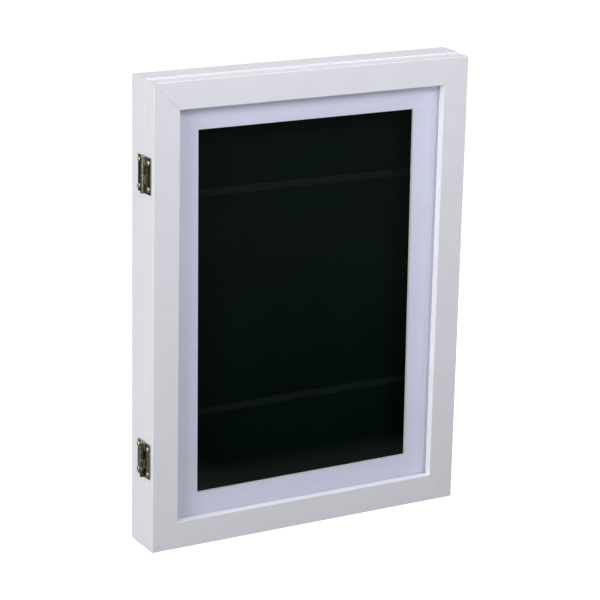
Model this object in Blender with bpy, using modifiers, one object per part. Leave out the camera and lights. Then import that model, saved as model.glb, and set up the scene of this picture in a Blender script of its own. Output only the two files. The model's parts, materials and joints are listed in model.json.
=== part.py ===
"""Front-opening picture storage frame: a deep mitred box with elastic straps inside,
closed by a glazed door that turns on two small butt hinges at its left side.

Metres, +Z up. The door faces -Y. The origin is under the middle of the frame's base.
"""
import math

import bmesh
import bpy
from mathutils import Matrix, Vector

# Whole frame
frame_width = 0.253
frame_height = 0.340
door_top_drop = 0.0009
door_depth = 0.013
box_depth = 0.0207
seam_gap = 0.0003

# Fits shared by all pieces
seat_gap = 0.0003
mitre_gap = 0.0002
cut_overrun = 0.002
arc_step = math.radians(15)
turned_steps = 16

# Door rails
door_rail_face = 0.020
door_lip_depth = 0.0061
door_rebate_width = 0.005
outer_edge_radius = 0.0004
lip_edge_radius = 0.0004
seam_edge_radius = 0.0003

# Box rails
box_rail_face = 0.020
box_rebate_width = 0.006
box_rebate_depth = 0.006

# Sheets in the door and the back
glazing_thickness = 0.002
mat_thickness = 0.0015
mat_side_border = 0.0226
mat_end_border = 0.0203
back_panel_thickness = 0.003
backing_board_thickness = 0.002

# Retaining points, driven into the rebates
point_width = 0.008
point_thickness = 0.0004
point_embedded = 0.006
point_reach = 0.0042
point_nose = 0.002
side_point_shares = (0.30, 0.70)
end_point_shares = (0.50,)

# Butt hinges on the left side
upper_hinge_drop = 0.0662
lower_hinge_rise = 0.0673
hinge_advance = 0.0004
hinge_height = 0.026
leaf_width = 0.0094
leaf_thickness = 0.0008
pin_radius = 0.0008
pin_clearance = 0.0001
knuckle_count = 4
knuckle_gap = 0.0003
knuckle_wrap = math.radians(285)
leaf_screw_offset = 0.0074
leaf_screw_spacing = 0.0186
screw_head_radius = 0.0019
screw_head_height = 0.0010
screw_shank_radius = 0.0008
screw_length = 0.0085
screw_tip_length = 0.002

# Magnetic closure on the right side
magnet_end_distance = 0.060
magnet_radius = 0.004
magnet_thickness = 0.003
strike_radius = 0.004
strike_thickness = 0.001
disc_chamfer = 0.0003

# Elastic straps and their staples
upper_strap_drop = 0.0878
lower_strap_rise = 0.0914
strap_width = 0.0056
strap_thickness = 0.0008
strap_tab_length = 0.0085
staple_crown_length = 0.010
staple_leg_length = 0.007
staple_wire_width = 0.0012
staple_wire_thickness = 0.0005

# Sawtooth hangers and their nails
hanger_length = 0.045
hanger_height = 0.008
hanger_thickness = 0.0008
hanger_rise = 0.0015
hanger_tab_length = 0.008
hanger_edge_distance = 0.003
hanger_nail_inset = 0.0035
tooth_count = 7
tooth_pitch = 0.0032
tooth_depth = 0.0018
tooth_tip_share = 0.2
nail_head_radius = 0.0016
nail_head_height = 0.0006
nail_shank_radius = 0.0006
nail_length = 0.009

# Depths, from the door's face back to the wall side
frame_depth = door_depth + seam_gap + box_depth
door_front = -frame_depth / 2
door_back = door_front + door_depth
box_front = door_back + seam_gap
box_back = box_front + box_depth
glazing_front = door_front + door_lip_depth + seat_gap
mat_front = glazing_front + glazing_thickness + seat_gap
glazing_point_front = mat_front + mat_thickness + seat_gap
back_panel_front = box_back - box_rebate_depth + seat_gap
panel_point_front = back_panel_front + back_panel_thickness + seat_gap
backing_board_front = back_panel_front - seat_gap - backing_board_thickness
strap_front = backing_board_front - seat_gap - strap_thickness

# Hinge axis, outside the left side and a little forward of the seam's middle
knuckle_bore = pin_radius + pin_clearance
knuckle_radius = knuckle_bore + leaf_thickness
hinge_x = -frame_width / 2 - seat_gap - knuckle_radius
hinge_y = door_back + seam_gap / 2 - hinge_advance
hinge_heights = {"upper": frame_height - upper_hinge_drop, "lower": lower_hinge_rise}

# The door stands level with the box at the base and stops a little below the box's top
door_height = frame_height - door_top_drop

# Colours, roughness and metallic value of each finish
finishes = {
    "white_foil": ((0.80, 0.81, 0.85), 0.42, 0.0),
    "clear_glass": ((0.95, 0.97, 0.98), 0.05, 0.0),
    "mat_card": ((0.70, 0.71, 0.86), 0.90, 0.0),
    "black_card": ((0.010, 0.016, 0.013), 0.85, 0.0),
    "raw_board": ((0.42, 0.28, 0.17), 0.85, 0.0),
    "black_elastic": ((0.018, 0.022, 0.019), 0.80, 0.0),
    "bronze": ((0.16, 0.12, 0.06), 0.35, 1.0),
    "brass": ((0.68, 0.50, 0.27), 0.30, 1.0),
    "steel": ((0.55, 0.56, 0.58), 0.32, 1.0),
}

quarter_turn_x = Matrix.Rotation(math.pi / 2, 4, "X")
quarter_turn_y = Matrix.Rotation(math.pi / 2, 4, "Y")
half_turn_y = Matrix.Rotation(math.pi, 4, "Y")


# Scene, collections and parents
for old_object in list(bpy.data.objects):
    bpy.data.objects.remove(old_object, do_unlink=True)


def new_collection(name):
    collection = bpy.data.collections.new(name)
    bpy.context.scene.collection.children.link(collection)
    return collection


parts = new_collection("picture_storage_frame")
cutters = new_collection("cutters")


def new_empty(name, place):
    empty = bpy.data.objects.new(name, None)
    empty.location = place
    parts.objects.link(empty)
    return empty


box = new_empty("box", (0, 0, 0))
door_pivot = new_empty("door_pivot", (hinge_x, hinge_y, 0))


# Tools for all pieces
def add_object(name, mesh, matrix, parent, collection):
    piece = bpy.data.objects.new(name, mesh)
    collection.objects.link(piece)
    piece.parent = parent
    piece.matrix_local = Matrix.Translation(-parent.location) @ matrix
    return piece


def add_part(name, mesh, finish, matrix, parent):
    """One sub-part with a material of its own."""
    piece = add_object(name, mesh, matrix, parent, parts)
    colour, roughness, metallic = finishes[finish]
    material = bpy.data.materials.new(name + "_" + finish)
    material.use_nodes = True
    shader = material.node_tree.nodes["Principled BSDF"]
    shader.inputs["Base Color"].default_value = (*colour, 1)
    shader.inputs["Roughness"].default_value = roughness
    shader.inputs["Metallic"].default_value = metallic
    if finish == "clear_glass":
        shader.inputs["Transmission Weight"].default_value = 1
    mesh.materials.append(material)
    return piece


def add_cutter(name, mesh, matrix, parent):
    cutter = add_object(name, mesh, matrix, parent, cutters)
    cutter.hide_render = True
    cutter.display_type = "WIRE"
    return cutter


def cut(piece, cutter):
    modifier = piece.modifiers.new(cutter.name, "BOOLEAN")
    modifier.operation = "DIFFERENCE"
    modifier.solver = "EXACT"
    modifier.object = cutter


def outline_points(corners):
    """Points round a closed outline, each corner (x, y, radius) rounded by its radius."""
    points = []
    for index, (x, y, radius) in enumerate(corners):
        corner = Vector((x, y))
        if radius == 0:
            points.append(corner)
            continue
        before = (Vector(corners[index - 1][:2]) - corner).normalized()
        after = (Vector(corners[(index + 1) % len(corners)][:2]) - corner).normalized()
        half_angle = before.angle(after) / 2
        centre = corner + (before + after).normalized() * (radius / math.sin(half_angle))
        start = corner + before * (radius / math.tan(half_angle)) - centre
        end = corner + after * (radius / math.tan(half_angle)) - centre
        first = math.atan2(start.y, start.x)
        sweep = math.remainder(math.atan2(end.y, end.x) - first, 2 * math.pi)
        steps = max(2, math.ceil(abs(sweep) / (2 * arc_step)))
        for step in range(steps + 1):
            angle = first + sweep * step / steps
            points.append(centre + Vector((math.cos(angle), math.sin(angle))) * radius)
    return points


def arc_points(radius, first, last):
    """Points on a circle about the origin, from one angle to another."""
    steps = math.ceil(abs(last - first) / arc_step)
    angles = [first + (last - first) * step / steps for step in range(steps + 1)]
    return [Vector((math.cos(angle), math.sin(angle))) * radius for angle in angles]


def square(corners):
    """The same corners, none of them rounded."""
    return [(x, y, 0) for x, y in corners]


def prism(name, rings, length):
    """A flat outline, with any holes after it, pushed out evenly to both sides."""
    curve = bpy.data.curves.new(name, "CURVE")
    curve.dimensions = "2D"
    curve.fill_mode = "BOTH"
    curve.extrude = length / 2
    for ring in rings:
        spline = curve.splines.new("POLY")
        spline.points.add(len(ring) - 1)
        spline.use_cyclic_u = True
        for point, (x, y) in zip(spline.points, ring):
            point.co = (x, y, 0, 1)
    source = bpy.data.objects.new(name, curve)
    bpy.context.scene.collection.objects.link(source)
    graph = bpy.context.evaluated_depsgraph_get()
    mesh = bpy.data.meshes.new_from_object(source.evaluated_get(graph))
    bpy.data.objects.remove(source, do_unlink=True)
    bpy.data.curves.remove(curve)
    mesh.name = name
    close_mesh(mesh)
    return mesh


def close_mesh(mesh):
    """Weld the caps on, point the faces outwards and smooth the round edges."""
    work = bmesh.new()
    work.from_mesh(mesh)
    bmesh.ops.remove_doubles(work, verts=work.verts, dist=seat_gap / 100)
    bmesh.ops.recalc_face_normals(work, faces=work.faces)
    work.to_mesh(mesh)
    work.free()
    mesh.shade_smooth()
    mesh.set_sharp_from_angle(angle=2.5 * arc_step)


def slab(name, size):
    """A flat board or bar of the given size, centred on its origin."""
    work = bmesh.new()
    bmesh.ops.create_cube(work, size=1)
    bmesh.ops.scale(work, vec=size, verts=work.verts)
    mesh = bpy.data.meshes.new(name)
    work.to_mesh(mesh)
    work.free()
    return mesh


def turned(piece):
    """Spin the piece's profile, which runs down its outer side, round its own Z."""
    spin = piece.modifiers.new("spin", "SCREW")
    spin.axis = "Z"
    spin.steps = turned_steps
    spin.render_steps = turned_steps
    spin.use_merge_vertices = True
    spin.merge_threshold = seat_gap / 100
    spin.use_smooth_shade = True
    return piece


def profile_mesh(name, points):
    """An open chain of (radius, height) points."""
    mesh = bpy.data.meshes.new(name)
    edges = [(index, index + 1) for index in range(len(points) - 1)]
    mesh.from_pydata([(radius, 0, height) for radius, height in points], edges, [])
    return mesh


def rod_mesh(name, radius, top, bottom):
    """A plain cylinder between two heights."""
    work = bmesh.new()
    bmesh.ops.create_cone(work, cap_ends=True, segments=turned_steps, radius1=radius,
                          radius2=radius, depth=top - bottom)
    bmesh.ops.translate(work, vec=(0, 0, (top + bottom) / 2), verts=work.verts)
    mesh = bpy.data.meshes.new(name)
    work.to_mesh(mesh)
    work.free()
    return mesh


# Mitred rails of the door and the box
def side_frames(height):
    """Each side's frame in a ring of this height: x runs inwards, y backwards, z along the side."""
    return {
        "left": Matrix.Translation((-frame_width / 2, 0, height / 2)),
        "right": Matrix.Translation((frame_width / 2, 0, height / 2)) @ half_turn_y,
        "bottom": quarter_turn_y.inverted(),
        "top": Matrix.Translation((0, 0, height)) @ quarter_turn_y,
    }


def side_length(side, height):
    return frame_width if side in ("top", "bottom") else height


def rail_mesh(name, corners, length):
    """A moulding of the given section whose two ends are mitred at 45 degrees."""
    mesh = prism(name, [outline_points(corners)], length)
    setback = mitre_gap / math.sqrt(2)
    for vertex in mesh.vertices:
        vertex.co.z -= math.copysign(vertex.co.x + setback, vertex.co.z)
    return mesh


door_wall = door_rail_face - door_rebate_width
door_section = [
    (0, door_front, outer_edge_radius),
    (door_rail_face, door_front, lip_edge_radius),
    (door_rail_face, door_front + door_lip_depth, 0),
    (door_wall, door_front + door_lip_depth, 0),
    (door_wall, door_back, 0),
    (0, door_back, seam_edge_radius),
]
box_wall = box_rail_face - box_rebate_width
box_section = [
    (0, box_front, seam_edge_radius),
    (box_rail_face, box_front, lip_edge_radius),
    (box_rail_face, box_back - box_rebate_depth, 0),
    (box_wall, box_back - box_rebate_depth, 0),
    (box_wall, box_back, 0),
    (0, box_back, outer_edge_radius),
]


def add_rails(kind, section, height, parent):
    rails = {}
    for side, side_frame in side_frames(height).items():
        mesh = rail_mesh(kind + side, section, side_length(side, height))
        rails[side] = add_part(kind + side, mesh, "white_foil", side_frame, parent)
    return rails


door_rails = add_rails("door_rail_", door_section, door_height, door_pivot)
box_rails = add_rails("box_rail_", box_section, frame_height, box)


# Sheets: glazing and mat in the door, board and panel in the box
def sheet_size(height, wall, thickness):
    """A sheet that drops into a ring of this height whose rails' walls are this thick."""
    return (frame_width - 2 * (wall + seat_gap), thickness, height - 2 * (wall + seat_gap))


def add_sheet(name, height, wall, front, thickness, finish, parent):
    place = Matrix.Translation((0, front + thickness / 2, height / 2))
    add_part(name, slab(name, sheet_size(height, wall, thickness)), finish, place, parent)


add_sheet("glazing", door_height, door_wall, glazing_front, glazing_thickness, "clear_glass",
          door_pivot)
add_sheet("back_panel", frame_height, box_wall, back_panel_front, back_panel_thickness,
          "raw_board", box)
add_sheet("backing_board", frame_height, box_rail_face, backing_board_front,
          backing_board_thickness, "black_card", box)


def mat_mesh():
    """A card ring whose window is cut at 45 degrees, widest at the front."""
    outer_width, _, outer_height = sheet_size(door_height, door_wall, mat_thickness)
    window = (outer_width - 2 * mat_side_border, outer_height - 2 * mat_end_border)
    rings = []
    for width, height in ((outer_width, outer_height), window):
        rings.append([Vector((across * width / 2, up * height / 2))
                      for across, up in ((-1, -1), (1, -1), (1, 1), (-1, 1))])
    mesh = prism("mat_board", rings, mat_thickness)
    for vertex in mesh.vertices:
        if abs(vertex.co.x) < (outer_width - mat_side_border) / 2 and vertex.co.z < 0:
            vertex.co.x -= math.copysign(mat_thickness, vertex.co.x)
            vertex.co.y -= math.copysign(mat_thickness, vertex.co.y)
    return mesh


mat_place = Matrix.Translation((0, mat_front + mat_thickness / 2, door_height / 2)) @ quarter_turn_x
add_part("mat_board", mat_mesh(), "mat_card", mat_place, door_pivot)


# Retaining points, which hold the mat and glazing, and the back panel
def add_points(kind, rails, height, wall, front, parent):
    for side, side_frame in side_frames(height).items():
        shares = end_point_shares if side in ("top", "bottom") else side_point_shares
        depth = front + point_thickness / 2
        for number, share in enumerate(shares, start=1):
            name = f"{kind}_{side}_{number}"
            along = (share - sum(side_point_shares) / 2) * side_length(side, height)
            place = side_frame @ Matrix.Translation((wall, depth, along)) @ quarter_turn_x
            outline = square([
                (point_reach, -point_width / 2),
                (point_reach, point_width / 2),
                (point_nose - point_embedded, point_width / 2),
                (-point_embedded, 0),
                (point_nose - point_embedded, -point_width / 2),
            ])
            mesh = prism(name, [outline_points(outline)], point_thickness)
            add_part(name, mesh, "steel", place, parent)
            slot_size = (point_embedded + seat_gap + cut_overrun, point_width + 2 * seat_gap,
                         point_thickness + 2 * seat_gap)
            slot_middle = (cut_overrun - point_embedded - seat_gap) / 2
            slot_place = place @ Matrix.Translation((slot_middle, 0, 0))
            slot = add_cutter(name + "_slot", slab(name + "_slot", slot_size), slot_place, parent)
            cut(rails[side], slot)


add_points("glazing_point", door_rails, door_height, door_wall, glazing_point_front, door_pivot)
add_points("panel_point", box_rails, frame_height, box_wall, panel_point_front, box)


# Butt hinges, rolled from sheet round their pins
def leaf_mesh(name, facing):
    """A leaf rolled round the bore; facing is 1 for a leaf that lies backwards, -1 forwards."""
    outer = arc_points(knuckle_radius, 0, -knuckle_wrap)
    inner = arc_points(knuckle_bore, -knuckle_wrap, 0)
    outline = [Vector((knuckle_radius, leaf_width)), *outer, *inner, Vector((knuckle_bore, leaf_width))]
    return prism(name, [[(point.x, facing * point.y) for point in outline]], hinge_height)


def notch_cutter(name, knuckle, facing, hinge_place, parent):
    """The room that the other leaf's knuckle needs in this leaf."""
    pitch = hinge_height / knuckle_count
    top = hinge_height / 2 - knuckle * pitch + knuckle_gap / 2
    bottom = top - pitch - knuckle_gap
    if knuckle == 0:
        top += cut_overrun
    if knuckle == knuckle_count - 1:
        bottom -= cut_overrun
    reach = knuckle_radius + knuckle_gap
    size = (2 * knuckle_radius + 2 * cut_overrun, reach + knuckle_radius + cut_overrun, top - bottom)
    middle = (0, facing * (reach - knuckle_radius - cut_overrun) / 2, (top + bottom) / 2)
    return add_cutter(name, slab(name, size), hinge_place @ Matrix.Translation(middle), parent)


def screw_profile():
    """A domed head, a plain shank and a point, from the top of the head down."""
    dome = [(math.sin(angle) * screw_head_radius, math.cos(angle) * screw_head_height)
            for angle in (0, math.pi / 8, math.pi / 4, math.pi * 3 / 8, math.pi / 2)]
    shank = [(screw_shank_radius, 0), (screw_shank_radius, screw_tip_length - screw_length)]
    return [*dome, *shank, (0, -screw_length)]


def add_leaf(kind, hinge, facing, first_notch, hinge_place, rail, parent):
    name = f"{kind}_leaf_{hinge}"
    leaf = add_part(name, leaf_mesh(name, facing), "bronze", hinge_place, parent)
    for knuckle in range(first_notch, knuckle_count, 2):
        cut(leaf, notch_cutter(f"{name}_notch_{knuckle}", knuckle, facing, hinge_place, parent))
    head_seat = knuckle_bore - seat_gap
    for number, up in enumerate((1, -1), start=1):
        screw_name = f"{name}_screw_{number}"
        spot = (head_seat, facing * leaf_screw_offset, up * leaf_screw_spacing / 2)
        place = hinge_place @ Matrix.Translation(spot) @ quarter_turn_y.inverted()
        turned(add_part(screw_name, profile_mesh(screw_name, screw_profile()), "brass", place, parent))
        hole = rod_mesh(screw_name + "_hole", screw_shank_radius + seat_gap, cut_overrun,
                        -screw_length - seat_gap)
        hole_cutter = add_cutter(screw_name + "_hole", hole, place, parent)
        cut(leaf, hole_cutter)
        cut(rail, hole_cutter)


for hinge, height in hinge_heights.items():
    hinge_place = Matrix.Translation((hinge_x, hinge_y, height))
    pin_name = "hinge_pin_" + hinge
    pin = rod_mesh(pin_name, pin_radius, hinge_height / 2, -hinge_height / 2)
    add_part(pin_name, pin, "bronze", hinge_place, box)
    add_leaf("box", hinge, 1, 1, hinge_place, box_rails["left"], box)
    add_leaf("door", hinge, -1, 0, hinge_place, door_rails["left"], door_pivot)


# Magnets in the box and steel strikes in the door, at the side away from the hinges
def add_disc(name, radius, thickness, finish, facing, depth, height, rail, parent):
    """A disc let into a blind recess, flush with the rail's face at this depth."""
    turn = quarter_turn_x if facing < 0 else quarter_turn_x.inverted()
    place = Matrix.Translation((frame_width / 2 - door_wall / 2, depth, height)) @ turn
    profile = [(0, 0), (radius - disc_chamfer, 0), (radius, -disc_chamfer), (radius, -thickness),
               (0, -thickness)]
    turned(add_part(name, profile_mesh(name, profile), finish, place, parent))
    recess = rod_mesh(name + "_recess", radius + seat_gap, cut_overrun, -thickness - seat_gap)
    cut(rail, add_cutter(name + "_recess", recess, place, parent))


for name, height in (("upper", frame_height - magnet_end_distance), ("lower", magnet_end_distance)):
    add_disc("magnet_" + name, magnet_radius, magnet_thickness, "steel", -1, box_front, height,
             box_rails["right"], box)
    add_disc("strike_" + name, strike_radius, strike_thickness, "steel", 1, door_back, height,
             door_rails["right"], door_pivot)


# Elastic straps across the board, each end turned forwards and stapled to the side rail
def strap_mesh(name):
    half_span = frame_width / 2 - box_rail_face - seat_gap
    tab_front = strap_front + strap_thickness - strap_tab_length
    outer = strap_thickness + strap_thickness / 2
    inner = strap_thickness / 2
    corners = [
        (-half_span, tab_front, 0),
        (-half_span, strap_front + strap_thickness, outer),
        (half_span, strap_front + strap_thickness, outer),
        (half_span, tab_front, 0),
        (half_span - strap_thickness, tab_front, 0),
        (half_span - strap_thickness, strap_front, inner),
        (strap_thickness - half_span, strap_front, inner),
        (strap_thickness - half_span, tab_front, 0),
    ]
    return prism(name, [outline_points(corners)], strap_width)


def staple_mesh(name):
    """A flat wire bent to a U, its crown across the strap and its legs pointed."""
    half_crown = staple_crown_length / 2
    inner = half_crown - staple_wire_thickness
    outline = square([
        (0, -half_crown), (staple_wire_thickness - staple_leg_length, -half_crown),
        (-staple_leg_length, -inner), (-staple_wire_thickness, -inner),
        (-staple_wire_thickness, inner), (-staple_leg_length, inner),
        (staple_wire_thickness - staple_leg_length, half_crown), (0, half_crown),
    ])
    return prism(name, [outline_points(outline)], staple_wire_width)


def add_staple(name, side, height, rail):
    crown = box_rail_face + 2 * seat_gap + strap_thickness + staple_wire_thickness
    depth = strap_front + strap_thickness - strap_tab_length / 2
    along = (height - frame_height / 2) * (1 if side == "left" else -1)
    spot = Matrix.Translation((crown, depth, along))
    place = side_frames(frame_height)[side] @ spot @ quarter_turn_x
    add_part(name, staple_mesh(name), "steel", place, box)
    hole_depth = staple_leg_length + seat_gap - (crown - box_rail_face)
    size = (hole_depth + cut_overrun, staple_wire_thickness + 2 * seat_gap,
            staple_wire_width + 2 * seat_gap)
    for number, up in enumerate((1, -1), start=1):
        middle = (box_rail_face - crown + (cut_overrun - hole_depth) / 2,
                  up * (staple_crown_length - staple_wire_thickness) / 2, 0)
        leg_name = f"{name}_leg_{number}"
        cut(rail, add_cutter(leg_name, slab(leg_name, size), place @ Matrix.Translation(middle), box))


for name, height in (("upper", frame_height - upper_strap_drop), ("lower", lower_strap_rise)):
    strap_place = Matrix.Translation((0, 0, height))
    add_part("strap_" + name, strap_mesh("strap_" + name), "black_elastic", strap_place, box)
    for side in ("left", "right"):
        add_staple(f"strap_staple_{name}_{side}", side, height, box_rails[side])


# Sawtooth hangers on the back, one for each way up
def hanger_strip(name):
    """The strip's long section: flat ends on the rail and a raised middle."""
    half = hanger_length / 2
    bend = half - hanger_tab_length
    low = box_back + seat_gap
    high = low + hanger_rise
    outline = square([
        (-half, low), (-bend, low), (hanger_rise - bend, high), (bend - hanger_rise, high),
        (bend, low), (half, low), (half, low + hanger_thickness),
        (bend, low + hanger_thickness), (bend - hanger_rise, high + hanger_thickness),
        (hanger_rise - bend, high + hanger_thickness), (-bend, low + hanger_thickness),
        (-half, low + hanger_thickness),
    ])
    return prism(name, [outline_points(outline)], hanger_height)


def tooth_cutter(name, place):
    """A row of notches along the edge that faces the middle of the frame."""
    edge = hanger_height / 2
    tip = edge - tooth_depth * tooth_tip_share
    half_row = tooth_count * tooth_pitch / 2
    outline = [(edge + cut_overrun, -half_row), (edge + cut_overrun, half_row), (tip, half_row)]
    for tooth in reversed(range(tooth_count)):
        middle = (tooth + 1 / 2) * tooth_pitch - half_row
        outline.append((edge - tooth_depth, middle))
        outline.append((tip, middle - tooth_pitch / 2))
    depth = hanger_rise + hanger_thickness + 2 * cut_overrun
    mesh = prism(name, [outline_points(square(outline))], depth)
    shift = Matrix.Translation((0, box_back + depth / 2, 0))
    return add_cutter(name, mesh, place @ shift @ quarter_turn_x, box)


def add_hanger(name, side):
    rail = box_rails[side]
    across = hanger_edge_distance + hanger_height / 2
    place = side_frames(frame_height)[side] @ Matrix.Translation((across, 0, 0))
    hanger = add_part(name, hanger_strip(name), "steel", place @ quarter_turn_y.inverted(), box)
    cut(hanger, tooth_cutter(name + "_teeth", place))
    head_seat = box_back + 2 * seat_gap + hanger_thickness
    for number, along in enumerate((-1, 1), start=1):
        nail_name = f"{name}_nail_{number}"
        spot = (0, head_seat, along * (hanger_length / 2 - hanger_nail_inset))
        nail_place = place @ Matrix.Translation(spot) @ quarter_turn_x.inverted()
        profile = [(0, nail_head_height), (nail_head_radius, nail_head_height), (nail_head_radius, 0),
                   (nail_shank_radius, 0), (nail_shank_radius, 2 * nail_shank_radius - nail_length),
                   (0, -nail_length)]
        turned(add_part(nail_name, profile_mesh(nail_name, profile), "steel", nail_place, box))
        hole = rod_mesh(nail_name + "_hole", nail_shank_radius + seat_gap, cut_overrun,
                        -nail_length - seat_gap)
        hole_cutter = add_cutter(nail_name + "_hole", hole, nail_place, box)
        cut(hanger, hole_cutter)
        cut(rail, hole_cutter)


add_hanger("hanger_portrait", "top")
add_hanger("hanger_landscape", "right")
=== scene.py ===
"""A front-opening picture storage frame, dressed and lit as on a white studio table.

Metres, +Z up. The glazed door faces -Y and turns on the two hinges at its left side, -X.
"""
import json
import math

import bmesh
import bpy
from mathutils import Matrix, Vector


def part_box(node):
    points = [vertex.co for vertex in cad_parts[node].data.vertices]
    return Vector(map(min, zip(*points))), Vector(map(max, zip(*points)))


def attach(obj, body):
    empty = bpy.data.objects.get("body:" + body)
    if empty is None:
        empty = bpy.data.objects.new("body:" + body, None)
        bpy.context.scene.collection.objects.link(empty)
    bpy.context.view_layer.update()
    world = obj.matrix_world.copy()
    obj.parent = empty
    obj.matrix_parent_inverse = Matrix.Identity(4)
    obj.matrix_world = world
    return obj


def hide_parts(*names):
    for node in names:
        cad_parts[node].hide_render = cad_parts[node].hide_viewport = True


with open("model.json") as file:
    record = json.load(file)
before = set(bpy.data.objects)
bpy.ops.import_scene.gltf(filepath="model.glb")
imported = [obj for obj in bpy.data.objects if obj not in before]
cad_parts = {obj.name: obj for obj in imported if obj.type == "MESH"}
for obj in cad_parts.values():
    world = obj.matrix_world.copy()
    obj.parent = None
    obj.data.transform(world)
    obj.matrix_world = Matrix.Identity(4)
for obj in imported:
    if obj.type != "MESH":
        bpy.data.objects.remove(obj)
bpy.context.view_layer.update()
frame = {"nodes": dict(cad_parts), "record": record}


# White foil rails
# Fibreboard mouldings wrapped in white foil, four for the door and four for the box, mitred at
# 45 degrees. The door's have a lip in front of the glazing, the box's a rebate for the panel.
# Each is cut for what is let into it: screws, staples, points, nails, magnets and strikes.
rail_rebate = {"door": 0.005, "box": 0.006}
door_lip_depth = 0.0061
box_rebate_depth = 0.006
outer_radius = 0.0004
lip_radius = 0.0004
seam_radius = 0.0003
mitre_joint = 0.0001
seam_closing = 0.0001
foil_white = (0.76, 0.763, 0.81)
foil_shade = (0.745, 0.748, 0.79)
foil_dust = (0.45, 0.44, 0.42)
foil_roughness = (0.36, 0.5)


def give(tree, socket, value):
    """Links the socket to another one, or sets its number, vector or colour."""
    if isinstance(value, bpy.types.NodeSocket):
        tree.links.new(value, socket)
    elif socket.type == "RGBA":
        socket.default_value = (*value, 1)
    else:
        socket.default_value = value


def add_node(tree, kind, **inputs):
    """A shader node with its inputs set, or linked where a socket is given."""
    made = tree.nodes.new("ShaderNode" + kind)
    for name, value in inputs.items():
        give(tree, made.inputs[name.replace("_", " ")], value)
    return made


def maths(tree, operation, *values):
    made = tree.nodes.new("ShaderNodeMath")
    made.operation = operation
    for socket, value in zip(made.inputs, values):
        give(tree, socket, value)
    return made.outputs[0]


def blend(tree, kind, factor, first, second):
    """The first Float or Color where the factor is 0, the second where it is 1."""
    made = tree.nodes.new("ShaderNodeMix")
    made.data_type = {"Float": "FLOAT", "Color": "RGBA"}[kind]
    sockets = {socket.identifier: socket for socket in [*made.inputs, *made.outputs]}
    give(tree, sockets["Factor_Float"], factor)
    give(tree, sockets["A_" + kind], first)
    give(tree, sockets["B_" + kind], second)
    return sockets["Result_" + kind]


def spread(tree, value, low, high, to_low=0, to_high=1):
    """The value's part between low and high, stretched to the new range."""
    return add_node(tree, "MapRange", Value=value, From_Min=low, From_Max=high,
                    To_Min=to_low, To_Max=to_high).outputs["Result"]


def noise(tree, place, scale, detail=3):
    return add_node(tree, "TexNoise", Vector=place, Scale=scale, Detail=detail).outputs["Fac"]


def stretched(tree, place, scale):
    return add_node(tree, "Mapping", Vector=place, Scale=scale).outputs["Vector"]


def new_group(name, inputs, outputs):
    """A node group with a place, number inputs with their usual values, and named outputs."""
    tree = bpy.data.node_groups.new(name, "ShaderNodeTree")
    tree.interface.new_socket("Place", in_out="INPUT", socket_type="NodeSocketVector")
    for label, value in inputs.items():
        socket = tree.interface.new_socket(label, in_out="INPUT", socket_type="NodeSocketFloat")
        socket.default_value = value
    for label in outputs:
        tree.interface.new_socket(label, in_out="OUTPUT", socket_type="NodeSocketFloat")
    given = tree.nodes.new("NodeGroupInput").outputs
    return tree, given, tree.nodes.new("NodeGroupOutput").inputs


def use_group(tree, group, place, **inputs):
    made = tree.nodes.new("ShaderNodeGroup")
    made.node_tree = group
    for name, value in {"Place": place, **inputs}.items():
        give(tree, made.inputs[name.replace("_", " ")], value)
    return made.outputs


def build_skin_group():
    """Fine pores over slow waves, for foil and card."""
    tree, given, result = new_group(
        "skin", {"Pore Scale": 1500, "Wave Scale": 60, "Wave Share": 0.5}, ("Height", "Mottle"))
    pores = noise(tree, given["Place"], given["Pore Scale"], detail=4)
    waves = noise(tree, given["Place"], given["Wave Scale"], detail=2)
    heavy = maths(tree, "MULTIPLY", waves, given["Wave Share"])
    tree.links.new(maths(tree, "ADD", pores, heavy), result["Height"])
    tree.links.new(spread(tree, waves, 0.35, 0.65), result["Mottle"])
    return tree


def build_dust_group():
    """Scattered pale specks, few and small."""
    tree, given, result = new_group(
        "dust", {"Scale": 140, "Size": 0.06, "Share": 0.3}, ("Specks",))
    cells = add_node(tree, "TexVoronoi", Vector=given["Place"], Scale=given["Scale"]).outputs
    near = maths(tree, "LESS_THAN", cells["Distance"], given["Size"])
    red = add_node(tree, "SeparateColor", Color=cells["Color"]).outputs["Red"]
    chosen = maths(tree, "LESS_THAN", red, given["Share"])
    tree.links.new(maths(tree, "MULTIPLY", near, chosen), result["Specks"])
    return tree


skin = build_skin_group()
dust = build_dust_group()


def new_material(name, **settings):
    """A material with its tree, its Principled shader and its object coordinates."""
    material = bpy.data.materials.new(name)
    material.use_nodes = True
    tree = material.node_tree
    shader = tree.nodes["Principled BSDF"]
    for label, value in settings.items():
        give(tree, shader.inputs[label.replace("_", " ")], value)
    return material, tree, shader, add_node(tree, "TexCoord").outputs["Object"]


def dusted(tree, place, colour, dust_colour, strength, **inputs):
    """The colour with specks of dust on it."""
    specks = use_group(tree, dust, place, **inputs)["Specks"]
    return blend(tree, "Color", maths(tree, "MULTIPLY", specks, strength), colour, dust_colour)


def give_surface(tree, shader, colour, roughness, height, relief, strength):
    """Feeds the shader its colour and roughness, and bumps of this relief in metres."""
    tree.links.new(colour, shader.inputs["Base Color"])
    tree.links.new(roughness, shader.inputs["Roughness"])
    bump = add_node(tree, "Bump", Height=height, Distance=relief, Strength=strength)
    tree.links.new(bump.outputs["Normal"], shader.inputs["Normal"])


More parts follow.
